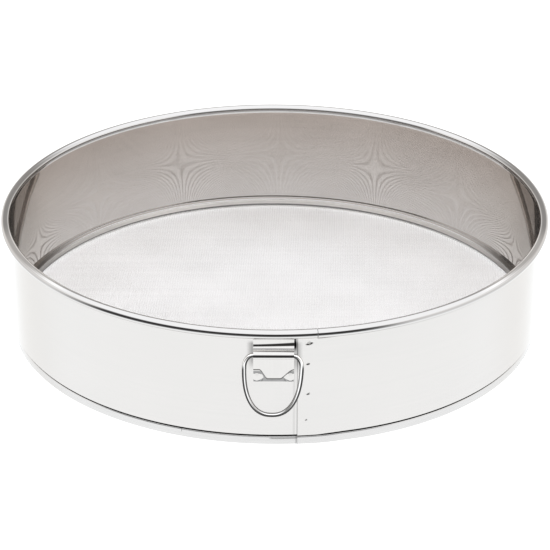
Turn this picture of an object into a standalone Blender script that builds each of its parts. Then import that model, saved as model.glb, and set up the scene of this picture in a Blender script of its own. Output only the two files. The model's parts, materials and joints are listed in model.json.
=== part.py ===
"""Round soil sieve: a rolled sheet drum with a woven screen and a hanging ring.

The drum stands on the XY plane with its axis on +Z. The front, where the
hanging ring is, faces -Y. Angles run from the front towards +X.
"""
import math

import bmesh
import bpy
from mathutils import Matrix, Vector

MM = 0.001

# Overall drum
RIM_RADIUS = 150.0 * MM
DRUM_HEIGHT = 66.4 * MM
SHEET = 0.4 * MM
FIT_GAP = 0.3 * MM
ROUND_STEP = 3.0

# Rolled bead at the top edge
BEAD_RADIUS = 2.2 * MM
BEAD_CENTRE_R = RIM_RADIUS - BEAD_RADIUS
BEAD_CENTRE_Z = DRUM_HEIGHT - BEAD_RADIUS
BEAD_END_ANGLE = -115.0
BEAD_SEGMENTS = 12
RIM_WIRE_RADIUS = 1.5 * MM

# Wall, shoulder and lip, as centre lines of the sheet
WALL_MID_R = BEAD_CENTRE_R - BEAD_RADIUS + SHEET / 2
WALL_OUTER_R = WALL_MID_R + SHEET / 2
SHOULDER_Z = 6.0 * MM
SHOULDER_BEND = 0.6 * MM
LIP_MID_R = 143.1 * MM
LIP_BOTTOM_Z = 2.3 * MM

# Lap seam: the outer end of the sheet covers its inner end
LAP_EDGE_ANGLE = 4.6
LAP_INNER_END_ANGLE = 8.24
LAP_BUTT_ANGLE = 8.36
LAP_RISE = SHEET + FIT_GAP
LAP_TOP_Z = 61.0 * MM
LAP_FLAT_TO = 9.0
LAP_FADE_TO = 15.0

# Screen and the two strips that clamp its turned-up edge
SCREEN_THICK = 0.3 * MM
SCREEN_MID_Z = 1.85 * MM
SKIRT_MID_R = LIP_MID_R + SHEET / 2 + FIT_GAP + SCREEN_THICK / 2
SKIRT_TOP_Z = 3.9 * MM
HOOP_THICK = 0.5 * MM
HOOP_TOP_Z = 4.2 * MM
HOOP_MID_R = SKIRT_MID_R + SCREEN_THICK / 2 + FIT_GAP + HOOP_THICK / 2
SHORT_STRIP_FROM = -18.8
SHORT_STRIP_TO = 4.2
LONG_STRIP_TO = 341.0

# Strap folded round the bar of the hanging ring
CLIP_X = -0.3 * MM
STRAP_WIDTH = 20.3 * MM
STRAP_SHEET = 0.4 * MM
STRAP_BOTTOM_Z = 37.0 * MM
STRAP_BACK_OFFSET = FIT_GAP + STRAP_SHEET / 2
STRAP_FRONT_OFFSET = STRAP_BACK_OFFSET + STRAP_SHEET + FIT_GAP
FOLD_CENTRE_Z = 58.9 * MM
BAR_Z = 52.45 * MM
WIRE_RADIUS = 1.1 * MM
CURL_MID_RADIUS = WIRE_RADIUS + FIT_GAP + STRAP_SHEET / 2
BAR_OFFSET = STRAP_BACK_OFFSET + STRAP_SHEET / 2 + FIT_GAP + WIRE_RADIUS
BAR_Y = -(WALL_OUTER_R + BAR_OFFSET)
TONGUE_SHOULDER_Z = 44.1 * MM
TONGUE_TIP_Z = 38.9 * MM
TONGUE_TIP_HALF = 3.0 * MM
TONGUE_SHOULDER_HALF = 8.0 * MM

# Hanging ring, centre line of its wire
RING_BAR_HALF = 9.3 * MM
RING_HALF = 14.3 * MM
RING_CORNER_DROP = 2.2 * MM
RING_BOTTOM_Z = 18.8 * MM
RING_ROUNDNESS = 2.5
WIRE_SIDES = 12

# Spot welds
WELD_HOLE_RADIUS = 1.7 * MM
WELD_RADIUS = 1.4 * MM
WELD_DOME = 0.15 * MM
LAP_WELD_ANGLE = 6.5
LAP_WELD_HEIGHTS = (58.3 * MM, 46.8 * MM, 29.7 * MM, 14.8 * MM)
STRAP_WELD_X = 8.3 * MM
STRAP_WELD_Z = 39.2 * MM

STEEL = (0.62, 0.60, 0.58)
BRIGHT_STEEL = (0.68, 0.67, 0.65)
SCREEN_STEEL = (0.58, 0.57, 0.55)


def clear_scene():
    for obj in list(bpy.data.objects):
        bpy.data.objects.remove(obj, do_unlink=True)


def steel(name, colour, roughness):
    material = bpy.data.materials.new(name)
    material.use_nodes = True
    shader = material.node_tree.nodes["Principled BSDF"]
    shader.inputs["Base Color"].default_value = (*colour, 1.0)
    shader.inputs["Metallic"].default_value = 1.0
    shader.inputs["Roughness"].default_value = roughness
    material.diffuse_color = (*colour, 1.0)
    return material


def finish_object(name, bm, colour, roughness, smooth_angle=35.0):
    """Close off a bmesh as one named object with its own material."""
    bmesh.ops.remove_doubles(bm, verts=bm.verts, dist=1e-7)
    bmesh.ops.recalc_face_normals(bm, faces=bm.faces)
    limit = math.radians(smooth_angle)
    for face in bm.faces:
        face.smooth = True
    for edge in bm.edges:
        if len(edge.link_faces) == 2:
            edge.smooth = edge.calc_face_angle(0.0) < limit
    mesh = bpy.data.meshes.new(name)
    bm.to_mesh(mesh)
    bm.free()
    mesh.materials.append(steel(name, colour, roughness))
    obj = bpy.data.objects.new(name, mesh)
    bpy.context.collection.objects.link(obj)
    return obj


def set_origin(obj, point):
    """Put the object's origin at a world point and keep its shape in place."""
    obj.data.transform(Matrix.Translation(-Vector(point)))
    obj.location = point


def around(radius, angle_deg, z):
    angle = math.radians(angle_deg)
    return Vector((radius * math.sin(angle), -radius * math.cos(angle), z))


def round_angles(start, stop, extra=()):
    """Both ends, every whole step between them and any extra angles."""
    first = math.ceil(start / ROUND_STEP + 1e-6)
    last = math.floor(stop / ROUND_STEP - 1e-6)
    angles = {start, stop, *extra}
    angles.update(i * ROUND_STEP for i in range(first, last + 1))
    return sorted(angles)


def lap_rise(angle):
    """How far the outer layer stands off the plain wall near the lap seam."""
    if angle < LAP_EDGE_ANGLE - 0.15 or angle >= LAP_FADE_TO:
        return 0.0
    if angle <= LAP_FLAT_TO:
        return LAP_RISE
    share = (LAP_FADE_TO - angle) / (LAP_FADE_TO - LAP_FLAT_TO)
    return LAP_RISE * share


def both_faces(path, thickness):
    """Offset a centre line in both directions by half the thickness."""
    pairs = []
    for i, point in enumerate(path):
        before = path[max(i - 1, 0)]
        after = path[min(i + 1, len(path) - 1)]
        a = Vector(point) - Vector(before)
        b = Vector(after) - Vector(point)
        a = a.normalized() if a.length else b.normalized()
        b = b.normalized() if b.length else a
        tangent = (a + b).normalized()
        normal = Vector((-tangent.y, tangent.x))
        reach = thickness / 2 / max(normal.dot(Vector((-a.y, a.x))), 0.5)
        pairs.append((Vector(point) + normal * reach, Vector(point) - normal * reach))
    return pairs


def sheet_body(columns, thickness, place, present):
    """Build one solid from a grid of sheet cells.

    columns is a list of centre lines, place turns a column number and a
    section point into a world point, and present says which cells exist.
    """
    bm = bmesh.new()
    made = {}
    pairs = [both_faces(path, thickness) for path in columns]
    rows = len(columns[0])
    wide = len(columns)

    def corner(j, i, side):
        key = (j, i, side)
        if key not in made:
            made[key] = bm.verts.new(place(j, pairs[j][i][side]))
        return made[key]

    def cell(j, i):
        return 0 <= j < wide - 1 and 0 <= i < rows - 1 and present(j, i)

    for j in range(wide - 1):
        for i in range(rows - 1):
            if not cell(j, i):
                continue
            for side in (0, 1):
                bm.faces.new([corner(j + dj, i + di, side)
                              for dj, di in ((0, 0), (1, 0), (1, 1), (0, 1))])
            edges = (((j - 1, i), (j, i), (j, i + 1)),
                     ((j + 1, i), (j + 1, i), (j + 1, i + 1)),
                     ((j, i - 1), (j, i), (j + 1, i)),
                     ((j, i + 1), (j, i + 1), (j + 1, i + 1)))
            for neighbour, p, q in edges:
                if not cell(*neighbour):
                    bm.faces.new([corner(*p, 0), corner(*q, 0), corner(*q, 1), corner(*p, 1)])
    return bm


def drum_section(rise):
    """Centre line of the drum sheet from the bead's free edge to the lip."""
    path = []
    bead_mid = BEAD_RADIUS - SHEET / 2
    for k in range(BEAD_SEGMENTS + 1):
        share = k / BEAD_SEGMENTS
        angle = math.radians(BEAD_END_ANGLE + (180.0 - BEAD_END_ANGLE) * share)
        path.append((BEAD_CENTRE_R + bead_mid * math.cos(angle),
                     BEAD_CENTRE_Z + bead_mid * math.sin(angle)))
    wall = WALL_MID_R + rise
    lip = LIP_MID_R + rise
    web = SHOULDER_Z - rise
    bend = SHOULDER_BEND
    path.append((wall, LAP_TOP_Z))
    path.append((wall, web + bend))
    path.append((wall - 0.3 * bend, web + 0.3 * bend))
    path.append((wall - bend, web))
    path.append((lip + bend, web))
    path.append((lip + 0.3 * bend, web - 0.3 * bend))
    path.append((lip, web - bend))
    path.append((lip, LIP_BOTTOM_Z))
    return path


def cut_holes(obj, name, places):
    """Drill plain round holes; each place is a point and an outward axis."""
    bm = bmesh.new()
    for point, axis in places:
        turn = Vector((0, 0, 1)).rotation_difference(axis).to_matrix().to_4x4()
        bmesh.ops.create_cone(bm, cap_ends=True, segments=16, radius1=WELD_HOLE_RADIUS,
                              radius2=WELD_HOLE_RADIUS, depth=6 * MM,
                              matrix=Matrix.Translation(point) @ turn)
    mesh = bpy.data.meshes.new(name)
    bm.to_mesh(mesh)
    bm.free()
    cutter = bpy.data.objects.new(name, mesh)
    bpy.context.collection.objects.link(cutter)
    cutter.display_type = "WIRE"
    cutter.hide_render = True
    cut = obj.modifiers.new("weld_holes", "BOOLEAN")
    cut.operation = "DIFFERENCE"
    cut.object = cutter
    return cutter


def lap_weld_places():
    axis = around(1.0, LAP_WELD_ANGLE, 0.0)
    return [(around(WALL_OUTER_R, LAP_WELD_ANGLE, z), axis) for z in LAP_WELD_HEIGHTS]


def strap_weld_places():
    axis = Vector((0, -1, 0))
    return [(Vector((CLIP_X + side * STRAP_WELD_X, -WALL_OUTER_R, STRAP_WELD_Z)), axis)
            for side in (-1, 1)]


def drum_wall():
    angles = round_angles(LAP_BUTT_ANGLE, 360.0 + LAP_INNER_END_ANGLE)
    flap = [LAP_EDGE_ANGLE, 6.0]
    angles = flap + angles
    columns = [drum_section(lap_rise(angle)) for angle in angles]
    lap_row = BEAD_SEGMENTS + 1
    bm = sheet_body(columns, SHEET,
                    lambda j, p: around(p.x, angles[j], p.y),
                    lambda j, i: j >= len(flap) or i >= lap_row)
    obj = finish_object("drum_wall", bm, STEEL, 0.16)
    cut_holes(obj, "weld_hole_cutter", lap_weld_places() + strap_weld_places())
    return obj


def rim_wire():
    bm = bmesh.new()
    steps = round(360.0 / ROUND_STEP)
    rings = []
    for j in range(steps):
        ring = []
        for k in range(8):
            angle = math.radians(45.0 * k)
            radius = BEAD_CENTRE_R + RIM_WIRE_RADIUS * math.cos(angle)
            z = BEAD_CENTRE_Z + RIM_WIRE_RADIUS * math.sin(angle)
            ring.append(bm.verts.new(around(radius, j * ROUND_STEP, z)))
        rings.append(ring)
    join_rings(bm, rings)
    return finish_object("rim_wire", bm, STEEL, 0.4, 60.0)


def join_rings(bm, rings):
    """Skin a closed chain of equal rings."""
    for j, ring in enumerate(rings):
        following = rings[(j + 1) % len(rings)]
        for k in range(len(ring)):
            m = (k + 1) % len(ring)
            bm.faces.new((ring[k], ring[m], following[m], following[k]))


def screen():
    """The screen as a shallow cup: a flat disc with a turned-up edge."""
    bm = bmesh.new()
    half = SCREEN_THICK / 2
    angles = round_angles(0.0, 357.0, (LAP_EDGE_ANGLE - 0.3, LAP_EDGE_ANGLE - 0.1))
    section = ((-half, SCREEN_MID_Z + half), (-half, SKIRT_TOP_Z),
               (half, SKIRT_TOP_Z), (half, SCREEN_MID_Z - half))
    rings = []
    for angle in angles:
        base = SKIRT_MID_R + lap_rise(angle)
        rings.append([bm.verts.new(around(base + dr, angle, z)) for dr, z in section])
    for j, ring in enumerate(rings):
        following = rings[(j + 1) % len(rings)]
        for k in range(3):
            bm.faces.new((ring[k], ring[k + 1], following[k + 1], following[k]))
    bm.faces.new([ring[0] for ring in rings])
    bm.faces.new([ring[3] for ring in rings])
    return finish_object("screen", bm, SCREEN_STEEL, 0.45)


def hoop_strip(name, start, stop, rises):
    angles = round_angles(start, stop)
    columns = []
    for angle in angles:
        radius = HOOP_MID_R + (lap_rise(angle) if rises else 0.0)
        columns.append([(radius, HOOP_TOP_Z), (radius, 0.0)])
    bm = sheet_body(columns, HOOP_THICK,
                    lambda j, p: around(p.x, angles[j], p.y),
                    lambda j, i: True)
    return finish_object(name, bm, STEEL, 0.22)


def arc_points(centre, radius, start, stop, count):
    points = []
    for k in range(count + 1):
        angle = math.radians(start + (stop - start) * k / count)
        points.append((centre[0] + radius * math.cos(angle),
                       centre[1] + radius * math.sin(angle)))
    return points


def tongue_end(x):
    """Height of the front layer's lower edge at a distance from its middle."""
    span = TONGUE_SHOULDER_HALF - TONGUE_TIP_HALF
    share = min(max((abs(x) - TONGUE_TIP_HALF) / span, 0.0), 1.0)
    ease = math.sin(share * math.pi / 2)
    return TONGUE_TIP_Z + (TONGUE_SHOULDER_Z - TONGUE_TIP_Z) * ease


def strap_section(end_z):
    """Centre line of the strap, as offset from the wall and height."""
    back = STRAP_BACK_OFFSET
    front = STRAP_FRONT_OFFSET
    meet = math.degrees(math.acos((front - BAR_OFFSET) / CURL_MID_RADIUS))
    path = [(back, STRAP_BOTTOM_Z), (back, STRAP_WELD_Z + 3 * MM)]
    path += arc_points((BAR_OFFSET, FOLD_CENTRE_Z), CURL_MID_RADIUS, 180.0, -meet, 11)
    path += arc_points((BAR_OFFSET, BAR_Z), CURL_MID_RADIUS, meet, -meet, 10)
    path += [(front, TONGUE_SHOULDER_Z + 2 * MM), (front, end_z)]
    return path


def ring_strap():
    half = STRAP_WIDTH / 2
    inner = [TONGUE_TIP_HALF + (TONGUE_SHOULDER_HALF - TONGUE_TIP_HALF) * k / 6
             for k in range(7)]
    xs = sorted([-half, 0.0, half] + inner + [-x for x in inner])
    columns = [strap_section(tongue_end(x)) for x in xs]
    bm = sheet_body(columns, STRAP_SHEET,
                    lambda j, p: Vector((CLIP_X + xs[j], -(WALL_OUTER_R + p.x), p.y)),
                    lambda j, i: True)
    return finish_object("ring_strap", bm, BRIGHT_STEEL, 0.14)


def ring_outline():
    """Centre line of the ring's wire in its own plane, as x and height."""
    corner_z = BAR_Z - RING_CORNER_DROP
    reach = RING_HALF - RING_BAR_HALF
    depth = corner_z - RING_BOTTOM_Z
    side = [(0.0, BAR_Z), (RING_BAR_HALF / 2, BAR_Z)]
    for k in range(7):
        angle = math.radians(90.0 - 90.0 * k / 6)
        side.append((RING_BAR_HALF + reach * math.cos(angle),
                     corner_z + RING_CORNER_DROP * math.sin(angle)))
    power = 2.0 / RING_ROUNDNESS
    for k in range(1, 18):
        angle = math.radians(90.0 * k / 18)
        side.append((RING_HALF * math.cos(angle) ** power,
                     corner_z - depth * math.sin(angle) ** power))
    side.append((0.0, RING_BOTTOM_Z))
    mirrored = [(-x, z) for x, z in side[1:-1]]
    return side + mirrored[::-1]


def d_ring():
    bm = bmesh.new()
    outline = [Vector((x, 0.0, z)) for x, z in ring_outline()]
    rings = []
    for j, point in enumerate(outline):
        before = outline[j - 1]
        after = outline[(j + 1) % len(outline)]
        tangent = ((point - before).normalized() + (after - point).normalized()).normalized()
        across = tangent.cross(Vector((0, 1, 0)))
        ring = []
        for k in range(WIRE_SIDES):
            angle = 2 * math.pi * k / WIRE_SIDES
            offset = across * math.cos(angle) + Vector((0, 1, 0)) * math.sin(angle)
            ring.append(bm.verts.new(point + offset * WIRE_RADIUS + Vector((CLIP_X, BAR_Y, 0))))
        rings.append(ring)
    join_rings(bm, rings)
    obj = finish_object("d_ring", bm, BRIGHT_STEEL, 0.12, 60.0)
    set_origin(obj, (CLIP_X, BAR_Y, BAR_Z))
    return obj


def weld_nugget(name, point, axis, depth_in, depth_out, bulge):
    """A round plug of fused metal along the axis through both sheets."""
    bm = bmesh.new()
    turn = Vector((0, 0, 1)).rotation_difference(axis).to_matrix()
    profile = ((0.55, -depth_in), (1.0, -depth_in), (1.0, depth_out), (0.55, depth_out + bulge))
    rings = []
    for share, height in profile:
        ring = []
        for k in range(16):
            angle = 2 * math.pi * k / 16
            local = Vector((math.cos(angle), math.sin(angle), 0.0)) * share * WELD_RADIUS
            ring.append(bm.verts.new(point + turn @ (local + Vector((0, 0, height)))))
        rings.append(ring)
    for lower, upper in zip(rings, rings[1:]):
        for k in range(16):
            m = (k + 1) % 16
            bm.faces.new((lower[k], lower[m], upper[m], upper[k]))
    bm.faces.new(rings[0])
    bm.faces.new(rings[-1])
    return finish_object(name, bm, STEEL, 0.3, 20.0)


def welds():
    for i, (point, axis) in enumerate(lap_weld_places(), 1):
        weld_nugget(f"lap_weld_{i}", point, axis, SHEET, LAP_RISE, -WELD_DOME)
    for i, (point, axis) in enumerate(strap_weld_places(), 1):
        weld_nugget(f"strap_weld_{i}", point, axis, 0.2 * MM,
                    FIT_GAP + STRAP_SHEET, WELD_DOME)


def build():
    clear_scene()
    drum_wall()
    rim_wire()
    screen()
    hoop_strip("hoop_long", LAP_EDGE_ANGLE, LONG_STRIP_TO, True)
    hoop_strip("hoop_short", SHORT_STRIP_FROM, SHORT_STRIP_TO, False)
    strap = ring_strap()
    cut_holes(strap, "strap_hole_cutter", strap_weld_places())
    d_ring()
    welds()


build()
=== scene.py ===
import json
import math

import bmesh
import bpy
import numpy as np
from mathutils import Euler, Matrix, Vector


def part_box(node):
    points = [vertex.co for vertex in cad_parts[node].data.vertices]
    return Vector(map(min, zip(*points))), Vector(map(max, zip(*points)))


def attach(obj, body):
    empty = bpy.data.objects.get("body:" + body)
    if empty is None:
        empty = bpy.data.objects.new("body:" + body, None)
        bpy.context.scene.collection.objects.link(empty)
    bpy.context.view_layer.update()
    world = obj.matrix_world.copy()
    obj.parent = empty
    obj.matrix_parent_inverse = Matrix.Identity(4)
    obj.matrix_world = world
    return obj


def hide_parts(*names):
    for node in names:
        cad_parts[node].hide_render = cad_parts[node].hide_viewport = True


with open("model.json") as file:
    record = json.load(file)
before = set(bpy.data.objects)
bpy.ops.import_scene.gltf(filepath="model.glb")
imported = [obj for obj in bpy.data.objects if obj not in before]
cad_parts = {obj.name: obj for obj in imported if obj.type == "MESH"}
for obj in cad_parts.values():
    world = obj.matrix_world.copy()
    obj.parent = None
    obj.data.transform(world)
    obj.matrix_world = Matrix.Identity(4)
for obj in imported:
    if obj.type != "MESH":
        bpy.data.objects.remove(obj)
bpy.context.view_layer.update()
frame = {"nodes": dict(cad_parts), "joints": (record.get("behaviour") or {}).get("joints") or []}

MM = 0.001
DRUM, RING = "drum", "ring"

# ---------------------------------------------------------------- sizes taken from the CAD frame
wall_lo, wall_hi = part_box("drum_wall")
screen_lo, screen_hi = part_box("screen")
HOOP_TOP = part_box("hoop_long")[1].z
strap_lo, strap_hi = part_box("ring_strap")
ring_lo, ring_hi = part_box("d_ring")

SHEET = 0.4 * MM
GAP = 0.3 * MM
RIM_R = 150.0 * MM
BEAD_R = 2.4 * MM
BEAD_CR = RIM_R - BEAD_R
BEAD_CZ = wall_hi.z - BEAD_R
WALL_R = 145.8 * MM
WALL_OUT = WALL_R + SHEET / 2
SHOULDER_Z = 5.8 * MM
BEND = 0.35 * MM
LIP_R = 143.1 * MM
LIP_Z = wall_lo.z
LAP_FROM, LAP_END, LAP_BUTT = 4.6, 8.24, 8.36  # degrees from the front
LAP_RISE = SHEET + GAP
LAP_TOP = 61.0 * MM
LAP_FLAT, LAP_FADE = 9.0, 15.0
LAP_NEAR, LAP_FAR = 3.5, 9.5
WALL_TOP = 62.1 * MM
WAVE_FROM = 7.0 * MM
FOOT_TURN_IN = 0.35 * MM

# spot welds of the lap: height, angle, slant of the dent, half length, slimness, depth
LAP_WELDS = ((58.3 * MM, 6.85, 18.0, 2.00 * MM, 2.2, 0.40 * MM),
             (46.8 * MM, 6.60, 34.0, 1.15 * MM, 1.5, 0.26 * MM),
             (29.7 * MM, 6.66, 34.0, 1.10 * MM, 1.6, 0.22 * MM),
             (14.8 * MM, 6.32, 42.0, 1.10 * MM, 2.0, 0.16 * MM))
DENT_FALL = 2.2
DENT_ROW = 0.27 * MM

CLIP_X = (strap_lo.x + strap_hi.x) / 2
STRAP_HALF = (strap_hi.x - strap_lo.x) / 2
BAR = Vector(frame["joints"][0]["pos_m"])
WIRE_R = (ring_hi.y - ring_lo.y) / 2
FOOT_WELD_X, FOOT_WELD_Z = 8.3 * MM, 38.9 * MM


# ---------------------------------------------------------------- materials
class Nodes:
    """Adds and links shader nodes in one node tree."""

    def __init__(self, node_tree):
        self.nodes = node_tree.nodes
        self.links = node_tree.links

    def add(self, kind, **values):
        node = self.nodes.new(kind)
        for key, value in values.items():
            node.inputs[key].default_value = value
        return node

    def join(self, source, target):
        self.links.new(source, target)

    def math(self, op, a, b=None):
        node = self.nodes.new("ShaderNodeMath")
        node.operation = op
        for slot_no, value in ((0, a), (1, b)):
            if value is None:
                continue
            if isinstance(value, (int, float)):
                node.inputs[slot_no].default_value = value
            else:
                self.links.new(value, node.inputs[slot_no])
        return node.outputs[0]

    def ramp(self, source, stops):
        """Colour ramp; stops are (place, rgb)."""
        node = self.nodes.new("ShaderNodeValToRGB")
        ramp = node.color_ramp
        while len(ramp.elements) < len(stops):
            ramp.elements.new(0.5)
        for element, (place, colour) in zip(ramp.elements, stops):
            element.position = place
            element.color = (*colour, 1.0)
        self.links.new(source, node.inputs[0])
        return node.outputs[0]

    def spread(self, source, low, high):
        """Map 0..1 to low..high."""
        node = self.nodes.new("ShaderNodeMapRange")
        node.inputs["To Min"].default_value = low
        node.inputs["To Max"].default_value = high
        self.links.new(source, node.inputs["Value"])
        return node.outputs[0]

    def step(self, value, low, high):
        """Smooth step from 0 at low to 1 at high."""
        node = self.nodes.new("ShaderNodeMapRange")
        node.interpolation_type = "SMOOTHSTEP"
        node.inputs["From Min"].default_value = low
        node.inputs["From Max"].default_value = high
        self.links.new(value, node.inputs["Value"])
        return node.outputs[0]

    def mix(self, share, a, b):
        """Blend colour a into colour b by share; each is a socket or an rgb tuple."""
        node = self.nodes.new("ShaderNodeMix")
        node.data_type = "RGBA"
        self.links.new(share, node.inputs["Factor"])
        for key, value in (("A", a), ("B", b)):
            entry = [i for i in node.inputs if i.name == key and i.type == "RGBA"][0]
            if isinstance(value, tuple):
                entry.default_value = (*value, 1.0)
            else:
                self.links.new(value, entry)
        return [o for o in node.outputs if o.type == "RGBA"][0]

    def place(self, kind="Object"):
        """Texture coordinates and their x, y and z."""
        coords = self.nodes.new("ShaderNodeTexCoord").outputs[kind]
        xyz = self.nodes.new("ShaderNodeSeparateXYZ")
        self.links.new(coords, xyz.inputs[0])
        return xyz.outputs

    def length(self, a, b):
        """Length of the vector (a, b)."""
        squares = self.math("ADD", self.math("MULTIPLY", a, a), self.math("MULTIPLY", b, b))
        return self.math("SQRT", squares)


class Tree(Nodes):
    """A new material and its nodes."""

    def __init__(self, name):
        self.material = bpy.data.materials.new(name)
        self.material.use_nodes = True
        super().__init__(self.material.node_tree)
        self.shader = self.nodes["Principled BSDF"]


def unrolled(tree):
    """Coordinates of the drum's sheet laid flat: along the sheet, height, radius."""
    x, y, z = tree.place()
    flat = tree.add("ShaderNodeCombineXYZ")
    tree.join(tree.math("MULTIPLY", tree.math("ARCTAN2", x, y), RIM_R), flat.inputs[0])
    tree.join(z, flat.inputs[1])
    tree.join(tree.length(x, y), flat.inputs[2])
    return flat.outputs[0]


def object_place(tree):
    """Plain coordinates of the object."""
    return tree.add("ShaderNodeTexCoord").outputs["Object"]


def stretched(tree, source, scale):
    """Coordinates multiplied by a scale for each axis."""
    mapping = tree.add("ShaderNodeMapping")
    mapping.inputs["Scale"].default_value = scale
    tree.join(source, mapping.inputs["Vector"])
    return mapping.outputs[0]


MARKS = 260.0
RELIEF = 0.02 * MM


def steel(name, dark, light, rough, grain, bump=0.0, coords=unrolled, cloud=14.0, extra=None):
    """Bright stainless sheet: rolling grain, faint clouding and soft handling marks."""
    tree = Tree(name)
    place = coords(tree)
    lines = tree.add("ShaderNodeTexNoise", Scale=1.0, Detail=6.0, Roughness=0.65)
    tree.join(stretched(tree, place, grain), lines.inputs["Vector"])
    clouds = tree.add("ShaderNodeTexNoise", Scale=cloud, Detail=3.0, Roughness=0.5)
    tree.join(place, clouds.inputs["Vector"])
    marks = tree.add("ShaderNodeTexNoise", Scale=MARKS, Detail=2.0, Roughness=0.6)
    tree.join(place, marks.inputs["Vector"])
    mixed = tree.math("ADD", tree.math("MULTIPLY", lines.outputs[0], 0.5),
                      tree.math("MULTIPLY", clouds.outputs[0], 0.5))
    tree.join(tree.ramp(mixed, ((0.32, dark), (0.68, light))), tree.shader.inputs["Base Color"])
    blend = tree.math("ADD", tree.math("MULTIPLY", lines.outputs[0], 0.6),
                      tree.math("MULTIPLY", marks.outputs[0], 0.4))
    tree.join(tree.spread(blend, rough[0], rough[1]), tree.shader.inputs["Roughness"])
    tree.shader.inputs["Metallic"].default_value = 1.0
    if bump:
        relief = tree.add("ShaderNodeBump", Strength=bump, Distance=RELIEF)
        tree.join(lines.outputs[0], relief.inputs["Height"])
        tree.join(relief.outputs[0], tree.shader.inputs["Normal"])
    if extra:
        extra(tree)
    return tree.material


def toned(tree, level):
    """Multiply the reflection colour of a finished steel by a level from other nodes."""
    target = tree.shader.inputs["Base Color"]
    source = target.links[0].from_socket
    mix = tree.nodes.new("ShaderNodeMix")
    mix.data_type = "RGBA"
    mix.blend_type = "MULTIPLY"
    mix.inputs["Factor"].default_value = 1.0
    a, b = [i for i in mix.inputs if i.type == "RGBA"]
    tree.links.new(source, a)
    tree.links.new(level, b)
    tree.links.new([o for o in mix.outputs if o.type == "RGBA"][0], target)


def painted_light_tone(tree):
    """Painted reflections, highlights and shade kept on the mesh as its tone attribute: dark lines
    on folds, rolled edges and dents, brighter crests.
    """
    tone = tree.nodes.new("ShaderNodeAttribute")
    tone.attribute_name = "tone"
    toned(tree, tone.outputs["Fac"])


def painted_height_shade(tree):
    """Painted shade on the inside of the wall: a little lighter low down, darker and warmer towards
    the rim.
    """
    height = tree.math("DIVIDE", tree.place()[2], wall_hi.z)
    toned(tree, tree.ramp(height, ((0.15, (1.10, 1.11, 1.11)), (0.5, (0.98, 0.97, 0.945)),
                                   (0.92, (0.83, 0.78, 0.73)))))
    tree.shader.inputs["Metallic"].default_value = 0.88
    tree.shader.inputs["Specular Tint"].default_value = (0.68, 0.67, 0.66, 1.0)


def wire_painted_light(tree):
    """Drawn wire: painted dark reflections along its sides and a painted highlight on its front,
    from the tone attribute; a dark specular tint darkens its grazing edges.
    """
    painted_light_tone(tree)
    tree.shader.inputs["Specular Tint"].default_value = (0.08, 0.08, 0.08, 1.0)


def painted_wall_shade(tree):
    """Painted shade on the outer wall beside the strap's edges, under the rim and along the lap,
    then the painted tone lines.
    """
    x, y, z = tree.place()

    def strip(centre, half, depth):
        """Painted darkening along a vertical strip of the front, strongest at its centre."""
        far = tree.math("DIVIDE", tree.math("ABSOLUTE", tree.math("SUBTRACT", x, centre)), half)
        near = tree.math("MAXIMUM", tree.math("SUBTRACT", 1.0, far), 0.0)
        soft = tree.math("MULTIPLY", tree.math("MULTIPLY", near, near),
                         tree.math("SUBTRACT", 3.0, tree.math("MULTIPLY", near, 2.0)))
        return tree.math("MULTIPLY", soft, depth)

    left_edge, right_edge = CLIP_X - STRAP_HALF, CLIP_X + STRAP_HALF
    seam_x = WALL_OUT * math.sin(math.radians(LAP_FROM))
    under_rim = tree.math("SUBTRACT", 1.0, tree.step(z, 57.5 * MM, 60.0 * MM))
    right = tree.math("MULTIPLY", strip(right_edge + 0.55 * MM, 1.3 * MM, 0.85),
                      tree.step(z, 52.5 * MM, 57.0 * MM))
    left = tree.math("MULTIPLY", tree.math("ADD", strip(left_edge - 1.0 * MM, 2.8 * MM, 0.42),
                                           strip(left_edge - 0.4 * MM, 1.0 * MM, 0.15)),
                     tree.math("MULTIPLY", tree.step(z, 42.0 * MM, 50.0 * MM), under_rim))
    low_right = tree.math("MULTIPLY", strip(right_edge + 1.6 * MM, 3.2 * MM, 0.40),
                          tree.math("MULTIPLY", tree.step(z, 40.0 * MM, 48.0 * MM), under_rim))
    seam = tree.math("ADD", strip(seam_x - 0.15 * MM, 0.45 * MM, 0.34),
                     strip(seam_x - 1.7 * MM, 1.1 * MM, 0.13))
    total = tree.math("ADD", tree.math("ADD", right, left), tree.math("ADD", low_right, seam))
    total = tree.math("MULTIPLY", total, tree.math("LESS_THAN", y, 0.0))
    toned(tree, tree.math("SUBTRACT", 1.0, total))
    painted_light_tone(tree)


def weld_painted_rings(tree):
    """Painted highlight and shade rings round the two spot welds at the foot of the strap."""
    x, _, z = tree.place()
    side = tree.math("ABSOLUTE", tree.math("SUBTRACT", x, CLIP_X))
    across = tree.math("SUBTRACT", side, FOOT_WELD_X)
    along = tree.math("SUBTRACT", z, FOOT_WELD_Z)
    far = tree.math("DIVIDE", tree.length(across, along), 5.0 * MM)
    levels = ((0.0, 1.5), (0.25, 1.3), (0.32, 0.35), (0.38, 0.5), (0.46, 1.2), (0.54, 0.4),
              (0.66, 0.9))
    toned(tree, tree.ramp(far, [(place, (level, level, level)) for place, level in levels]))


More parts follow.
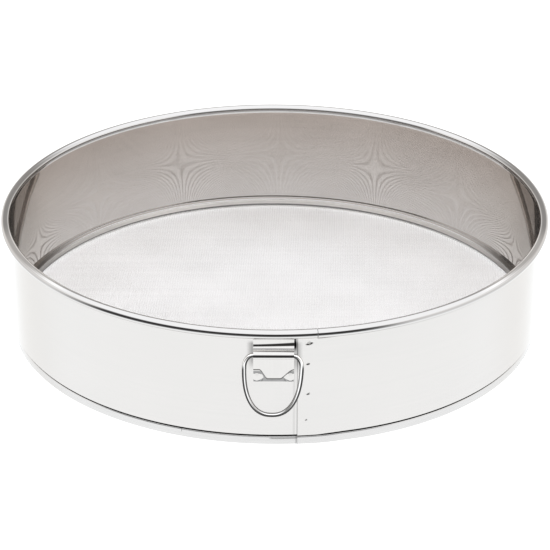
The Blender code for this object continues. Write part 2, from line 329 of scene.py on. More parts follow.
# name, dark and light reflection, roughness range, grain along/across/through, relief, ...
WALL_STEEL = steel("wall_steel", (0.525, 0.50, 0.475), (0.555, 0.525, 0.50), (0.02, 0.04),
                   (6.0, 900.0, 30.0), 0.0, extra=painted_light_tone)
OUTER_STEEL = steel("outer_wall_steel", (0.543, 0.514, 0.484), (0.568, 0.534, 0.503), (0.10, 0.14),
                    (6.0, 900.0, 30.0), 0.0, extra=painted_wall_shade)
# A darker, warmer copy of the wall steel: painted shade on the inside of the wall.
INNER_STEEL = steel("inner_wall_steel", (0.475, 0.437, 0.41), (0.51, 0.468, 0.44), (0.028, 0.048),
                    (6.0, 900.0, 30.0), 0.0, extra=painted_height_shade)
# A lighter copy of the wall steel: painted light on the inside of the lip.
LIP_LIT_STEEL = steel("lip_painted_light_steel", (0.68, 0.645, 0.61), (0.76, 0.725, 0.69), (0.32, 0.45),
                  (6.0, 900.0, 30.0), 0.05, extra=painted_light_tone)
HOOP_STEEL = steel("hoop_steel", (0.50, 0.475, 0.452), (0.56, 0.533, 0.507), (0.10, 0.20),
                   (40.0, 1200.0, 40.0), 0.08, extra=painted_light_tone)
STRAP_STEEL = steel("strap_steel", (0.545, 0.513, 0.482), (0.575, 0.543, 0.511), (0.03, 0.07),
                    (1200.0, 60.0, 60.0), 0.05, object_place, 60.0, painted_light_tone)
RING_STEEL = steel("ring_steel", (0.86, 0.82, 0.78), (0.92, 0.88, 0.84), (0.05, 0.09),
                   (200.0, 200.0, 200.0), 0.04, object_place, 90.0, wire_painted_light)
SCREEN_STEEL = steel("screen_steel", (0.655, 0.623, 0.603), (0.80, 0.765, 0.745), (0.25, 0.40),
                     (5.0, 330.0, 5.0), 0.0, object_place, 25.0)
# Near-black steel: painted shade in the slot between shoulder and hoop, on the screen's edge and the
# sheet behind the hoop.
SLOT_SHADE_STEEL = steel("slot_painted_shade", (0.035, 0.033, 0.03), (0.06, 0.057, 0.053), (0.40, 0.60),
                   (900.0, 60.0, 60.0), 0.0)
# A darker copy of the strap steel: painted shade on the strap's foot under the tongue.
FOOT_SHADE_STEEL = steel("strap_foot_painted_shade", (0.25, 0.238, 0.226), (0.35, 0.335, 0.32), (0.16, 0.26),
                   (300.0, 60.0, 60.0), 0.05, object_place, 60.0, weld_painted_rings)
WELD_STEEL = steel("weld_steel", (0.30, 0.28, 0.26), (0.48, 0.46, 0.43), (0.22, 0.42),
                   (900.0, 900.0, 900.0), 0.2, object_place, 700.0)
WIRE_STEEL = steel("rim_wire_steel", (0.40, 0.39, 0.38), (0.50, 0.49, 0.48), (0.3, 0.5),
                   (60.0, 900.0, 60.0), 0.1)


def dress(obj, material):
    """Give every slot of an object the one material."""
    if not obj.material_slots:
        obj.data.materials.append(material)
    for entry in obj.material_slots:
        entry.link = "OBJECT"
        entry.material = material


# ---------------------------------------------------------------- mesh tools
def around(radius, angle_deg, z):
    """A point at an angle from the front, towards +X."""
    angle = math.radians(angle_deg)
    return Vector((radius * math.sin(angle), -radius * math.cos(angle), z))


def make_object(name, bm, material, smooth_angle=30.0):
    bmesh.ops.remove_doubles(bm, verts=bm.verts, dist=1e-8)
    bmesh.ops.recalc_face_normals(bm, faces=bm.faces)
    limit = math.radians(smooth_angle)
    for face in bm.faces:
        face.smooth = True
    for edge in bm.edges:
        if len(edge.link_faces) == 2:
            edge.smooth = edge.calc_face_angle(0.0) < limit
    mesh = bpy.data.meshes.new(name)
    bm.to_mesh(mesh)
    bm.free()
    mesh.materials.append(material)
    obj = bpy.data.objects.new(name, mesh)
    bpy.context.collection.objects.link(obj)
    return obj


def both_faces(path, thickness):
    """Offset a centre line in both directions by half the thickness."""
    points = np.array(path, float)
    legs = np.diff(points, axis=0)
    legs /= np.linalg.norm(legs, axis=1)[:, None]
    a = np.vstack([legs[:1], legs])
    b = np.vstack([legs, legs[-1:]])
    tangent = a + b
    tangent /= np.linalg.norm(tangent, axis=1)[:, None]
    normal = np.column_stack([-tangent[:, 1], tangent[:, 0]])
    side = np.column_stack([-a[:, 1], a[:, 0]])
    reach = thickness / 2 / np.maximum((normal * side).sum(axis=1), 0.5)
    offset = normal * reach[:, None]
    return points + offset, points - offset


def ease(x):
    """Smooth step, held at 0 below 0 and at 1 above 1."""
    x = min(max(x, 0.0), 1.0)
    return x * x * (3 - 2 * x)


def window(value, low, high, soft):
    """1 between low and high, easing to 0 over soft on both sides."""
    return ease((value - low + soft) / soft) * ease((high + soft - value) / soft)


def sheet_body(columns, thickness, place, present, tone=None):
    """One closed sheet from a grid of cells; place maps (column, point) into space."""
    bm = bmesh.new()
    layer = bm.verts.layers.float.new("tone")
    made = {}
    pairs = [both_faces(path, thickness) for path in columns]
    rows, wide = len(columns[0]), len(columns)

    def corner(j, i, side):
        key = (j, i, side)
        if key not in made:
            made[key] = bm.verts.new(place(j, i, pairs[j][side][i]))
            made[key][layer] = tone(j, i) if tone else 1.0
        return made[key]

    def cell(j, i):
        return 0 <= j < wide - 1 and 0 <= i < rows - 1 and present(j, i)

    for j in range(wide - 1):
        for i in range(rows - 1):
            if not cell(j, i):
                continue
            for side in (0, 1):
                bm.faces.new([corner(j + dj, i + di, side)
                              for dj, di in ((0, 0), (1, 0), (1, 1), (0, 1))])
            for neighbour, p, q in (((j - 1, i), (j, i), (j, i + 1)),
                                    ((j + 1, i), (j + 1, i), (j + 1, i + 1)),
                                    ((j, i - 1), (j, i), (j + 1, i)),
                                    ((j, i + 1), (j, i + 1), (j + 1, i + 1))):
                if not cell(*neighbour):
                    bm.faces.new([corner(*p, 0), corner(*q, 0), corner(*q, 1), corner(*p, 1)])
    return bm


def lap_rise(angle):
    """How far the outer end of the sheet stands off the inner one under it."""
    if angle < LAP_FROM - 0.15 or angle >= LAP_FADE:
        return 0.0
    return LAP_RISE * (1 - ease((angle - LAP_FLAT) / (LAP_FADE - LAP_FLAT)))


# ---------------------------------------------------------------- drum sheet
BEAD_TURNS = (list(range(-118, -8, 11)) + list(range(-8, 37, 4)) + list(range(40, 192, 9))
              + [192])
BEAD_STEPS = len(BEAD_TURNS) - 1
WALL_ROWS = 15
WALL_STEP, LAP_STEP, LAP_END_STEP = 1.25, 0.2, 0.1  # degrees between columns
WEB_DROP, WEB_DROP_FADE = 0.4 * LAP_RISE, 2.2
WAVE_DEPTH, WAVE_EASE = 0.035 * MM, 12.0 * MM


def dent_rows():
    """Heights of the wall rows, close together where the spot welds dent the lap."""
    heights = set(np.linspace(LAP_TOP, SHOULDER_Z + 2 * BEND, WALL_ROWS).round(6))
    for weld in LAP_WELDS:
        heights = {h for h in heights if abs(h - weld[0]) > 7.8 * DENT_ROW}
        heights.update(round(weld[0] + k * DENT_ROW, 7) for k in range(-7, 8))
    return sorted(heights, reverse=True)


WALL_HEIGHTS = dent_rows()


def drum_section(angle):
    """Centre line of the sheet from the bead's end, down the wall and shoulder, to the lip."""
    rise, drop = lap_rise(angle), 0.0
    if LAP_FROM - 0.1 < angle < 20:
        drop = WEB_DROP * (1 - ease((angle - LAP_BUTT) / WEB_DROP_FADE))
    mid = BEAD_R - SHEET / 2
    path = [(BEAD_CR + mid * math.cos(math.radians(turn)),
             BEAD_CZ + mid * math.sin(math.radians(turn))) for turn in BEAD_TURNS]
    path += [(WALL_R - 0.12 * MM, WALL_TOP + 0.65 * MM), (WALL_R - 0.02 * MM, WALL_TOP + 0.05 * MM)]
    wall, lip, web = WALL_R + rise, LIP_R + rise, SHOULDER_Z - drop
    path += [(wall, z) for z in WALL_HEIGHTS]
    turns = [math.radians(90.0 * k / 4) for k in range(5)]
    path += [(wall - BEND + BEND * math.cos(turn), web + BEND - BEND * math.sin(turn))
             for turn in turns]
    path += [(lip + BEND - BEND * math.sin(turn), web - BEND + BEND * math.cos(turn))
             for turn in turns]
    foot = lip - FOOT_TURN_IN
    return path + [(lip, LIP_Z + 1.25 * MM), (foot, LIP_Z + 0.75 * MM), (foot, LIP_Z + 0.6 * MM),
                   (foot, LIP_Z)]


def weld_dent(angle, z, rise):
    """Inward dent, in metres, at a point of the lapped wall."""
    depth = 0.0
    for weld_z, weld_angle, slant, reach, slim, deep in LAP_WELDS:
        across, along = math.radians(angle - weld_angle) * WALL_OUT, z - weld_z
        slant = math.radians(slant)
        u = across * math.cos(slant) + along * math.sin(slant)
        v = along * math.cos(slant) - across * math.sin(slant)
        far = math.hypot(u, v * slim) / reach
        depth = max(depth, deep * math.exp(-DENT_FALL * far * far))
    return depth if rise > GAP else depth * 0.6


def wall_wave(angle, z):
    """Slight unevenness of rolled thin sheet, nil at the bead and the shoulder."""
    body = ease((z - WAVE_FROM) / WAVE_EASE) * ease((LAP_TOP - z) / WAVE_EASE)
    a = math.radians(angle)
    wave = (math.sin(5 * a + 0.7) + 0.6 * math.sin(11 * a + 90 * z)
            + 0.35 * math.sin(23 * a - 140 * z))
    return WAVE_DEPTH * body * wave


def round_columns(start, stop, step, dense=()):
    """Angles from start to stop, closer together in the dense (low, high, step) stretches."""
    angles = {round(start, 4), round(stop, 4)}
    first, last = math.ceil(start / step), math.floor(stop / step)
    angles.update(round(k * step, 4) for k in range(first, last + 1))
    for low, high, fine in dense:
        angles.update(np.arange(low, high, fine).round(4).tolist())
    found = sorted(a for a in angles if start <= a <= stop)
    kept = [found[0]]
    for a in found[1:]:
        if a - kept[-1] > 0.03:
            kept.append(a)
    kept[-1] = stop
    return kept


def from_front(angle):
    """An angle of the full turn as -180..180 from the front."""
    return angle if angle < 180 else angle - 360


def bead_tone(near, turn):
    """Painted reflections on the bead: a dark line under its front, a painted highlight on the crest
    at its front quarters, painted shade at its root.
    """
    line = 1 - 0.75 * (1 - window(near, -34.0, 14.0, 18.0))
    root = 0.5 * ease((turn - 168.0) / 12.0)
    crest = 0.7 * window(turn, 50.0, 128.0, 14.0) * window(abs(near), 53.0, 71.0, 10.0)
    return (1 - 0.86 * line * window(turn, -5.0, 22.0, 3.0)) * (1 - root) * (1 + crest)


def lip_tone(near, z):
    """Shoulder and lip: painted shade at the sides, painted light across the back."""
    side = window(abs(near), 60.0, 108.0, 18.0)
    back = window(abs(near), 150.0, 181.0, 25.0) if z < SHOULDER_Z - 0.8 * BEND else 0.0
    return 1 - 0.42 * side + 0.25 * back


def dent_tone(near, z, rise):
    """Painted dark reflection where a weld's dent slopes away upwards."""
    step = 0.05 * MM
    slope = (weld_dent(near, z + step, rise) - weld_dent(near, z - step, rise)) / (2 * step)
    return 1 - 0.8 * ease((math.degrees(math.atan(slope)) - 4.0) / 5.0)


def sheet_slot(face):
    """Slot of a face: 0 plain, 1 outer wall, 2 inner wall, 3 slot behind the hoop in near-black
    painted shade, 4 lip in lighter painted light.
    """
    centre = face.center
    outward = Vector((centre.x, centre.y, 0.0)).normalized().dot(face.normal)
    if outward > 0.3 and SHOULDER_Z - BEND < centre.z < WALL_TOP and centre.xy.length > 145.0 * MM:
        return 1
    if outward < -0.3 and SHOULDER_Z + 2 * BEND < centre.z < WALL_TOP:
        return 2
    if centre.z < SHOULDER_Z and face.normal.z < 0.3 and outward > -0.3:
        return 3
    return 4 if centre.z < SHOULDER_Z - BEND and outward < -0.3 else 0


def build_wall():
    """The rolled sheet: its lapped flap first, then once round to the inner end under it."""
    flap = round_columns(LAP_FROM, LAP_BUTT - 0.05, LAP_STEP)
    last = 360.0 + LAP_END
    angles = flap + round_columns(LAP_BUTT, last, WALL_STEP,
                                  ((LAP_BUTT, 10.0, LAP_STEP), (364.6, last, LAP_END_STEP)))
    columns = [drum_section(a) for a in angles]
    lap_row = BEAD_STEPS + 3

    def place(j, i, p):
        angle, radius, z = angles[j], float(p[0]), float(p[1])
        if i >= lap_row and z > WAVE_FROM:
            radius += wall_wave(angle % 360.0, z)
            near = from_front(angle)
            if LAP_NEAR < near < LAP_FAR:
                radius -= weld_dent(near, z, lap_rise(angle))
        return around(radius, angle, z)

    # Painted reflections and shade; the lip's last two rows get a painted shadow line where they
    # meet the screen.
    def tone(j, i):
        near, z = from_front(angles[j]), columns[j][i][1]
        if i <= BEAD_STEPS:
            return bead_tone(near, BEAD_TURNS[i])
        if i >= len(columns[j]) - 2:
            return 0.35
        if z < SHOULDER_Z + 0.1 * BEND:
            return lip_tone(near, z)
        if LAP_NEAR < near < LAP_FAR and z > WAVE_FROM:
            return dent_tone(near, z, lap_rise(angles[j]))
        return 1.0

    bm = sheet_body(columns, SHEET, place, lambda j, i: j >= len(flap) or i >= lap_row, tone)
    wall = make_object("drum_sheet", bm, WALL_STEEL, 40.0)
    for material in (OUTER_STEEL, INNER_STEEL, SLOT_SHADE_STEEL, LIP_LIT_STEEL):
        wall.data.materials.append(material)
    for face in wall.data.polygons:
        face.material_index = sheet_slot(face)
    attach(wall, DRUM)
    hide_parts("drum_wall")


# ---------------------------------------------------------------- bottom hoop
HOOP_THICK = 0.5 * MM
HOOP_R = 144.9 * MM
LONG_STRIP = (4.54, 341.05)
SHORT_STRIP = (-18.87, 4.6)
CREASE = 0.05 * MM


def build_strip(name, node, ends, rises, lift):
    """A strip of the hoop with eased edges; lift gives its raised foot and its crease."""
    start, stop = ends
    angles = round_columns(start, stop, 1.0, ((start, start + 3, 0.25), (stop - 6, stop, 0.25)))
    columns = []
    for a in angles:
        r = HOOP_R + (lap_rise(a) if rises else 0.0)
        up, crease = lift(a)
        columns.append([(r - 0.12 * MM, HOOP_TOP), (r, HOOP_TOP - 0.15 * MM),
                        (r, HOOP_TOP - 0.4 * MM), (r - crease, HOOP_TOP - 0.55 * MM),
                        (r, HOOP_TOP - 0.7 * MM), (r, HOOP_TOP * 0.5), (r, 0.15 * MM + up),
                        (r - 0.10 * MM, up)])

    # Painted shade in the crease, and darker along the lap joint.
    def tone(j, i):
        crease = lift(angles[j])[1] / CREASE if i == 3 else 0.0
        return (1 - 0.30 * window(angles[j], 4.35, 4.56, 0.1)) * (1 - 0.7 * crease)

    bm = sheet_body(columns, HOOP_THICK, lambda j, i, p: around(float(p[0]), angles[j], float(p[1])),
                    lambda j, i: True, tone)
    strip = make_object(name, bm, HOOP_STEEL, 45.0)
    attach(strip, DRUM)
    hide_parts(node)


def long_lift(a):
    """The long strip's end stands a little off the base beside the lap."""
    return 0.25 * MM * ease((16.0 - a) / 11.0), 0.0


def short_lift(a):
    """The short strip carries a fine crease under the lap."""
    return 0.0, CREASE * ease((a + 1.4) / 0.8)


# ---------------------------------------------------------------- woven screen
PITCH = 1.0 * MM
CLOTH_WIRE_R = 0.14 * MM
CLOTH_TURN = math.radians(47.0)
CLOTH_EDGE = 143.35 * MM
CLOTH_Z = screen_lo.z + 0.15 * MM
CLOTH_PARTS = 4
SKIRT_R = 143.75 * MM
SKIRT_THICK = 2 * CLOTH_WIRE_R
WIRE_SIDES = 4  # a wire's ends are closed with one quad each


def wire_family(name, first, last, family):
    """Wires first..last of one direction of a plain weave, as one object."""
    u = np.array([math.sin(CLOTH_TURN), math.cos(CLOTH_TURN)])
    v = np.array([math.cos(CLOTH_TURN), -math.sin(CLOTH_TURN)])
    if family:
        u, v = v, u
    verts, quads = [], []
    base = 0
    ring = np.arange(WIRE_SIDES)
    turn = 2 * np.pi * ring / WIRE_SIDES
    for k in range(first, last):
        offset = (k + 0.5) * PITCH
        half = math.sqrt(max(CLOTH_EDGE ** 2 - offset ** 2, 0.0))
        if half < PITCH:
            continue
        low = math.ceil(-half / PITCH - 0.5)
        high = math.floor(half / PITCH - 0.5)
        steps = np.arange(low, high + 1)
        s = np.concatenate([[-half], (steps + 0.5) * PITCH, [half]])
        phase = np.concatenate([[low - 1], steps, [high + 1]]) + k + family
        lift = np.where(phase % 2 == 0, 1.0, -1.0) * CLOTH_WIRE_R
        lift[0] = lift[-1] = 0.0
        centre = np.column_stack([u[0] * s + v[0] * offset, u[1] * s + v[1] * offset,
                                  CLOTH_Z + lift])
        across = np.array([v[0], v[1], 0.0])
        up = np.array([0.0, 0.0, 1.0])
        around_wire = (np.cos(turn)[None, :, None] * across + np.sin(turn)[None, :, None] * up)
        pts = centre[:, None, :] + around_wire * CLOTH_WIRE_R
        n = len(s)
        verts.append(pts.reshape(-1, 3))
        rows = base + np.arange(n - 1)[:, None] * WIRE_SIDES
        a = rows + ring[None, :]
        b = rows + (ring[None, :] + 1) % WIRE_SIDES
        quads.append(np.stack([a, b, b + WIRE_SIDES, a + WIRE_SIDES], axis=-1).reshape(-1, 4))
        quads.append(base + ring[None, ::-1])
        tail = base + (n - 1) * WIRE_SIDES
        quads.append(tail + ring[None, :])
        base += n * WIRE_SIDES
    verts = np.concatenate(verts)
    quads = np.concatenate(quads)
    if family:
        quads = quads[:, ::-1]
    mesh = bpy.data.meshes.new(name)
    mesh.vertices.add(len(verts))
    mesh.vertices.foreach_set("co", verts.ravel())
    mesh.loops.add(quads.size)
    mesh.loops.foreach_set("vertex_index", quads.ravel().astype(np.int32))
    mesh.polygons.add(len(quads))
    mesh.polygons.foreach_set("loop_start", np.arange(0, quads.size, 4, dtype=np.int32))
    mesh.polygons.foreach_set("use_smooth", np.ones(len(quads), bool))
    mesh.update(calc_edges=True)
    mesh.validate()
    mesh.materials.append(SCREEN_STEEL)
    obj = bpy.data.objects.new(name, mesh)
    bpy.context.collection.objects.link(obj)
    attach(obj, DRUM)
    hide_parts("screen")


def build_screen():
    """The cloth, in a few objects of neighbouring wires for each direction."""
    count = math.floor(CLOTH_EDGE / PITCH)
    marks = [round(-count + 2 * count * k / CLOTH_PARTS) for k in range(CLOTH_PARTS + 1)]
    for family, word in ((0, "warp"), (1, "weft")):
        for k in range(CLOTH_PARTS):
            wire_family(f"screen_{word}_{k + 1}", marks[k], marks[k + 1], family)


def build_skirt():
    """The screen's turned-up edge, seen in the slot between shoulder and hoop."""
    angles = round_columns(0.0, 360.0, 1.5, ((4.0, 5.0, 0.15),))
    columns = []
    for a in angles:
        r = SKIRT_R + lap_rise(a % 360.0)
        columns.append([(r - 0.35 * MM, CLOTH_Z), (r - 0.1 * MM, CLOTH_Z + 0.1 * MM),
                        (r, CLOTH_Z + 0.35 * MM), (r, 3.0 * MM), (r, screen_hi.z)])
    bm = sheet_body(columns, SKIRT_THICK,
                    lambda j, i, p: around(float(p[0]), angles[j], float(p[1])),
                    lambda j, i: True)
    # The edge is near-black as painted shade in the slot.
    skirt = make_object("screen_edge", bm, SLOT_SHADE_STEEL, 40.0)
    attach(skirt, DRUM)
    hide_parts("screen")


# ---------------------------------------------------------------- strap and ring
STRAP_SHEET = 0.4 * MM
BACK = GAP + STRAP_SHEET / 2
FRONT = BACK + STRAP_SHEET + GAP
CURL_R = WIRE_R + GAP + STRAP_SHEET / 2
BAR_OFF = -BAR.y - WALL_OUT
STRAP_TOP = 61.6 * MM
BAND = 1.35 * MM
FOLD_Z = 56.3 * MM


def arc_points(centre, radius, start, stop, count):
    """Points of an arc between two angles in degrees."""
    return [(centre[0] + radius * math.cos(math.radians(start + (stop - start) * k / count)),
             centre[1] + radius * math.sin(math.radians(start + (stop - start) * k / count)))
            for k in range(count + 1)]


def rounded(points, radii, count=6):
    """A polyline with its inner corners rounded."""
    path = [points[0]]
    for before, corner, after, radius in zip(points, points[1:], points[2:], radii):
        b, c, a = (Vector(p) for p in (before, corner, after))
        u, v = (b - c).normalized(), (a - c).normalized()
        half = math.acos(max(-1.0, min(1.0, u.dot(v)))) / 2
        cut = min(radius / math.tan(half), 0.49 * (b - c).length, 0.49 * (a - c).length)
        real = cut * math.tan(half)
        centre = c + (u + v).normalized() * (real / math.sin(half))
        p, q = c + u * cut - centre, c + v * cut - centre
        turn = math.atan2(p.x * q.y - p.y * q.x, p.dot(q))
        for k in range(count + 1):
            w = turn * k / count
            path.append((centre.x + p.x * math.cos(w) - p.y * math.sin(w),
                         centre.y + p.x * math.sin(w) + p.y * math.cos(w)))
    return path + [points[-1]]


FLARE_END = 48.0
VALLEY = 2.15 * MM
BROW = (BAR_OFF + 1.64 * MM, BAR.z + 0.88 * MM)
BROW_TURN = 24.0
HUMP_ARCS = ((3.0 * MM, BROW_TURN, 56.0, 8), (3.2 * MM, BROW_TURN, 4.0, 6),
             (1.1 * MM, 4.0, -100.0, 18))  # radius, first and last angle, steps
BACK_ROWS, BACK_ROW = 20, 0.3 * MM
FOOT_ROWS, BACK_END, FRONT_FROM, TONGUE_FROM = BACK_ROWS + 1, BACK_ROWS + 4, 30, 60
TIP_Z, TIP_RISE = 38.7 * MM, 5.1 * MM
RIB_PITCH, RIB_DEPTH = 0.98 * MM, 0.03 * MM
STRAP_COLUMNS = 81


def tongue_end(x):
    """Lower edge of the tongue: a flat tip between two uneven shoulders."""
    low, high = (3.0 * MM, 7.2 * MM) if x < 0 else (3.2 * MM, 10.2 * MM)
    share = min(max((abs(x) - low) / (high - low), 0.0), 1.0)
    return TIP_Z + TIP_RISE * ease(share) ** (0.9 if x < 0 else 0.8)


def strap_hump():
    """The fold over the ring's bar: from its crest over the brow and round below the bar."""
    hump = []
    for radius, start, stop, count in HUMP_ARCS:
        off, z = hump[-1] if start < BROW_TURN else BROW
        turn = math.radians(start)
        centre = (off - radius * math.cos(turn), z - radius * math.sin(turn))
        arc = arc_points(centre, radius, start, stop, count)
        hump += arc[::-1] if stop > start else arc[1:]
    return hump


def strap_section(x, end_z):
    """Centre line of the strap, as (distance off the wall, height), from foot to tongue."""
    across = 0.5 + x / (2 * STRAP_HALF)
    flare = (3.0 + 1.5 * across ** 1.5) * MM
    start = FOLD_Z + flare * math.sin(math.radians(FLARE_END))
    path = rounded([(BACK, strap_lo.z), (BACK, STRAP_TOP), (BAND, STRAP_TOP), (BAND, start)],
                   [0.42 * MM, 0.42 * MM], 7)
    back = [(BACK, strap_lo.z + BACK_ROW * k) for k in range(1, BACK_ROWS + 1)]
    path = path[:1] + back + path[1:]
    path += arc_points((BAND + flare, start), flare, 180.0, 180.0 + FLARE_END, 12)[1:]
    off, z = path[-1]
    hump = strap_hump()
    crest = hump[0]
    dip = rounded([(off, z), (off + 0.3 * MM, z - 0.27 * MM), (VALLEY, z - 0.95 * MM),
                   (VALLEY, crest[1] + 0.3 * MM), crest],
                  [0.2 * MM, 0.3 * MM, 0.22 * MM], 6)
    path += dip[1:-1] + hump
    tongue = rounded([path[-1], (FRONT, BAR.z - CURL_R * 0.93), (FRONT, BAR.z - 3.2 * MM)],
                     [0.5 * MM], 6)
    path += tongue[1:]
    low = path[-1][1]
    path += [(FRONT, low + (end_z + 0.8 * MM - low) * k / 10) for k in range(1, 11)]
    path += [(FRONT, end_z + step * MM) for step in (0.6, 0.45, 0.3, 0.15, 0.0)]
    return path


def back_bow(x, z):
    """The welded foot of the strap bows a little off the wall and stands out further in bumps at its
    welds.
    """
    foot = ease((46 * MM - z) / (5 * MM))
    bow = 0.26 * MM * ease((46.5 * MM - z) / (6.0 * MM)) * ease((z - 36.8 * MM) / (2.6 * MM))
    pull = 0.0
    for side in (-1, 1):
        far = math.hypot(x - side * FOOT_WELD_X, z - FOOT_WELD_Z) / (2.3 * MM)
        pull = max(pull, math.exp(-far * far))
    return bow * 0.5 + 0.16 * MM * pull * foot


def build_strap():
    """The folded strap, with ribs in its dip and a tongue whose end curls out from the wall."""
    xs = np.linspace(-STRAP_HALF, STRAP_HALF, STRAP_COLUMNS).tolist()
    columns = [strap_section(x, tongue_end(x)) for x in xs]

    def place(j, i, p):
        off, z = float(p[0]), float(p[1])
        if i <= FOOT_ROWS:
            off += back_bow(xs[j], z)
        elif z < 50 * MM and i > TONGUE_FROM:
            curl = min(max((tongue_end(xs[j]) + 0.7 * MM - z) / (0.7 * MM), 0.0), 1.0)
            off += 0.10 * MM * curl * curl
        elif BAR.z + 1.05 * CURL_R < z < FOLD_Z and i > FRONT_FROM:
            off -= RIB_DEPTH * (1 + math.cos(2 * math.pi * xs[j] / RIB_PITCH))
        return Vector((CLIP_X + xs[j], -(WALL_OUT + off), z))

    # Painted reflections: dark where the section slopes 5 to 23 degrees, a dark line at the fold and
    # a darker edge at the tongue's end.
    def tone(j, i):
        if i <= BACK_END:
            return 1.0
        (a, b), (c, d) = columns[j][i - 1], columns[j][min(i + 1, len(columns[j]) - 1)]
        slope = math.degrees(math.atan2(c - a, b - d))
        edge = 1.0 if i < len(columns[j]) - 4 else 0.42
        fold = 0.6 * window(columns[j][i][1], FOLD_Z - 0.10 * MM, FOLD_Z + 0.22 * MM, 0.08 * MM)
        return edge * (1 - fold) * (1 - 0.85 * window(slope, 5.0, 23.0, 3.0))

    bm = sheet_body(columns, STRAP_SHEET, place, lambda j, i: True, tone)
    strap = make_object("folded_strap", bm, STRAP_STEEL, 40.0)
    # The foot under the tongue takes the darker steel as painted shade.
    strap.data.materials.append(FOOT_SHADE_STEEL)
    for face in strap.data.polygons:
        if face.center.z < 46.0 * MM and -face.center.y - WALL_OUT < FRONT - 0.35 * MM:
            face.material_index = 1
    edge = strap.modifiers.new("eased", "BEVEL")
    edge.width = 0.07 * MM
    edge.segments = 2
    edge.limit_method = "ANGLE"
    edge.angle_limit = math.radians(60)
    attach(strap, DRUM)
    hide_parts("ring_strap")


RING_BAR_HALF, RING_HALF = 9.8 * MM, 14.32 * MM
RING_DROP, RING_BOTTOM, RING_POWER = 6.6 * MM, 18.5 * MM, 2.0 / 2.35
RING_SPAN = BAR.z - 18.75 * MM
RING_TILT = math.radians(1.2)
RING_LEAN = math.radians(1.6)
RING_REST = 0.15 * MM
RING_SIDE = -0.15 * MM
RING_SIDES = 40
LOOK = Vector((0.0, -math.cos(math.radians(26.0)), math.sin(math.radians(26.0))))


def ring_outline():
    """Centre line of the ring: a straight bar, round shoulders and an egg-shaped bow."""
    corner = BAR.z - RING_DROP
    side = [(RING_BAR_HALF * k / 8, BAR.z) for k in range(8)]
    for k in range(17):
        angle = math.radians(90.0 - 90.0 * k / 16)
        side.append((RING_BAR_HALF + (RING_HALF - RING_BAR_HALF) * math.cos(angle),
                     corner + RING_DROP * math.sin(angle)))
    for k in range(1, 56):
        angle = math.radians(90.0 * k / 56)
        side.append((RING_HALF * math.cos(angle) ** RING_POWER,
                     corner - (corner - RING_BOTTOM) * math.sin(angle) ** RING_POWER))
    side.append((0.0, RING_BOTTOM))
    return side + [(-x, z) for x, z in side[1:-1]][::-1]


def wire_level(out, left):
    """Painted reflection tone from the wire's inner side (-1) through its front (0) to its outer
    side (1): dark towards both sides.
    """
    outer_painted_dark = ease((out + 0.02) / 0.22)
    inner_painted_dark = ease((-out - 0.26 + 0.10 * left) / 0.22)
    return (1 - 0.94 * outer_painted_dark) * (1 - (0.66 + 0.20 * left) * inner_painted_dark)


def bar_level(out):
    """Painted reflection tone across the straight bar and its corners, dark only on the inner side.
    """
    return 1 - 0.94 * ease((-out - 0.08) / 0.22)


def build_ring():
    """The wire ring; it hangs a little askew and its bow rests closer to the wall than its bar."""
    outline = []
    for x, z in ring_outline():
        down = (BAR.z - z) / RING_SPAN
        outline.append(Vector((RING_SIDE + x - math.sin(RING_LEAN) * (BAR.z - z), RING_REST * down,
                               z - math.sin(RING_TILT) * x)))
    bm = bmesh.new()
    tone = bm.verts.layers.float.new("tone")
    rings = []
    for j, point in enumerate(outline):
        before, after = outline[j - 1], outline[(j + 1) % len(outline)]
        tangent = ((point - before).normalized() + (after - point).normalized()).normalized()
        across = tangent.cross(Vector((0, 1, 0))).normalized()
        depth = across.cross(tangent).normalized()
        ring = []
        for k in range(RING_SIDES):
            angle = 2 * math.pi * k / RING_SIDES
            offset = across * math.cos(angle) + depth * math.sin(angle)
            vert = bm.verts.new(point + offset * WIRE_R + Vector((BAR.x, BAR.y, 0)))
            # The tone paints the wire's dark edges and bright front as reflections, laid out for a
            # view along LOOK.
            below = ease((BAR.z - 3.2 * MM - point.z) / (4.5 * MM))
            left = ease(-point.x / (8.0 * MM)) * ease((point.z - 26.0 * MM) / (8.0 * MM))
            out = offset.dot((across - LOOK * across.dot(LOOK)).normalized())
            vert[tone] = bar_level(out) * (1 - below) + wire_level(out, left) * below
            ring.append(vert)
        rings.append(ring)
    for j, ring in enumerate(rings):
        following = rings[(j + 1) % len(rings)]
        for k in range(RING_SIDES):
            m = (k + 1) % RING_SIDES
            bm.faces.new((ring[k], ring[m], following[m], following[k]))
    wire = make_object("hanging_ring", bm, RING_STEEL, 60.0)
    wire.visible_glossy = False
    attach(wire, RING)
    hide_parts("d_ring")


# ---------------------------------------------------------------- stage, light and camera
FLOOR_DROP = 0.2 * MM
FLOOR_R = 1.6


def build_stage():
    bm = bmesh.new()
    bmesh.ops.create_circle(bm, cap_ends=True, segments=128, radius=FLOOR_R)
    floor = make_object("floor", bm, floor_material(), 30.0)
    floor.location.z = -FLOOR_DROP
    floor.visible_glossy = False
    floor.visible_diffuse = False
    floor.visible_shadow = False


def floor_material():
    """Pale floor, a little dimmer where the drum shades it."""
    tree = Tree("pale_floor")
    x, y, _ = tree.place()
    radius = tree.math("MULTIPLY", tree.length(x, y), 5.0)
    shade = tree.ramp(radius, ((0.0, (1.06, 1.045, 1.035)), (0.700, (1.06, 1.045, 1.035)),
                               (0.716, (1.3, 1.3, 1.3)), (1.0, (1.3, 1.3, 1.3))))
    white = tree.add("ShaderNodeEmission")
    tree.join(shade, white.inputs["Color"])
    tree.join(white.outputs[0], tree.nodes["Material Output"].inputs["Surface"])
    return tree.material


CEILING = (1.66, 1.74, 1.84)
TABLE = (1.52, 1.60, 1.68)
TABLE_BACK = (1.36, 1.40, 1.43)
SIDES = (1.40, 1.44, 1.48)
BACKDROP = (1.15, 1.15, 1.15)
HAZE = (0.45, 0.45, 0.45)
DARK = (0.34, 0.35, 0.36)


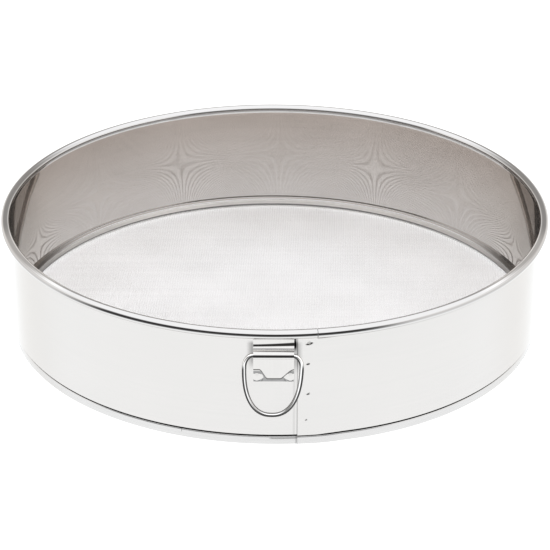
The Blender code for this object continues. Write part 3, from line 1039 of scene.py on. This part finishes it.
def build_world():
    """A studio by direction only: bright ceiling and table, dark strip behind the camera."""
    world = bpy.data.worlds.new("studio")
    bpy.context.scene.world = world
    world.use_nodes = True
    sky = Nodes(world.node_tree)
    nodes, links = sky.nodes, sky.links
    x, y, z = sky.place("Generated")
    height = sky.math("ARCSINE", z)
    turn = sky.math("ARCTAN2", x, sky.math("MULTIPLY", y, -1.0))
    rad = math.radians
    away = sky.math("ABSOLUTE", turn)
    above = sky.step(height, rad(20), rad(30))
    above_back = sky.step(height, rad(32), rad(48))
    below = sky.step(height, rad(-11), rad(-24))
    back = sky.step(away, rad(95), rad(140))
    sector = sky.math("MULTIPLY", sky.step(turn, rad(-82), rad(-66)),
                      sky.step(turn, rad(52), rad(34)))
    backdrop = sky.mix(sky.step(height, rad(0), rad(20)), BACKDROP, HAZE)
    backdrop = sky.mix(above_back, backdrop, CEILING)
    front = sky.mix(sector, SIDES, DARK)
    front = sky.mix(above, front, CEILING)
    colour = sky.mix(back, front, backdrop)
    colour = sky.mix(below, colour, sky.mix(back, TABLE, TABLE_BACK))
    light = nodes["Background"]
    links.new(colour, light.inputs["Color"])
    light.inputs["Strength"].default_value = 1.0
    clear = nodes.new("ShaderNodeBackground")
    clear.inputs["Strength"].default_value = 1.3
    seen = nodes.new("ShaderNodeLightPath")
    pick = nodes.new("ShaderNodeMixShader")
    links.new(seen.outputs["Is Camera Ray"], pick.inputs[0])
    links.new(light.outputs[0], pick.inputs[1])
    links.new(clear.outputs[0], pick.inputs[2])
    links.new(pick.outputs[0], nodes["World Output"].inputs["Surface"])


SENSOR, LENS = 36.0, 152.64
CAMERA_SHIFT = 1 / 1100
CAMERA_BACK, AIM_Z = 1.298, 33.0 * MM
CAMERA_LEAN = math.radians(25.89)
CAMERA_PITCH = math.radians(90 - 26.249)
CAMERA_ROLL = math.radians(0.168)


def build_camera():
    data = bpy.data.cameras.new("camera")
    data.sensor_width = SENSOR
    data.lens = LENS
    data.clip_start, data.clip_end = 0.01, 20.0
    data.shift_x = CAMERA_SHIFT
    camera = bpy.data.objects.new("camera", data)
    bpy.context.collection.objects.link(camera)
    camera.location = (0.0, -CAMERA_BACK * math.cos(CAMERA_LEAN),
                       AIM_Z + CAMERA_BACK * math.sin(CAMERA_LEAN))
    level = Euler((CAMERA_PITCH, 0.0, 0.0)).to_matrix()
    camera.rotation_euler = (level @ Matrix.Rotation(CAMERA_ROLL, 3, "Z")).to_euler()
    bpy.context.scene.camera = camera


build_wall()
build_strip("hoop_strip_long", "hoop_long", LONG_STRIP, True, long_lift)
build_strip("hoop_strip_short", "hoop_short", SHORT_STRIP, False, short_lift)
build_screen()
build_skirt()
build_strap()
build_ring()
dress(frame["nodes"]["rim_wire"], WIRE_STEEL)
for number in range(1, 5):
    dress(frame["nodes"][f"lap_weld_{number}"], WELD_STEEL)
for number in (1, 2):
    dress(frame["nodes"][f"strap_weld_{number}"], WELD_STEEL)
build_stage()
build_world()
build_camera()
bpy.context.scene.view_settings.view_transform = "Standard"
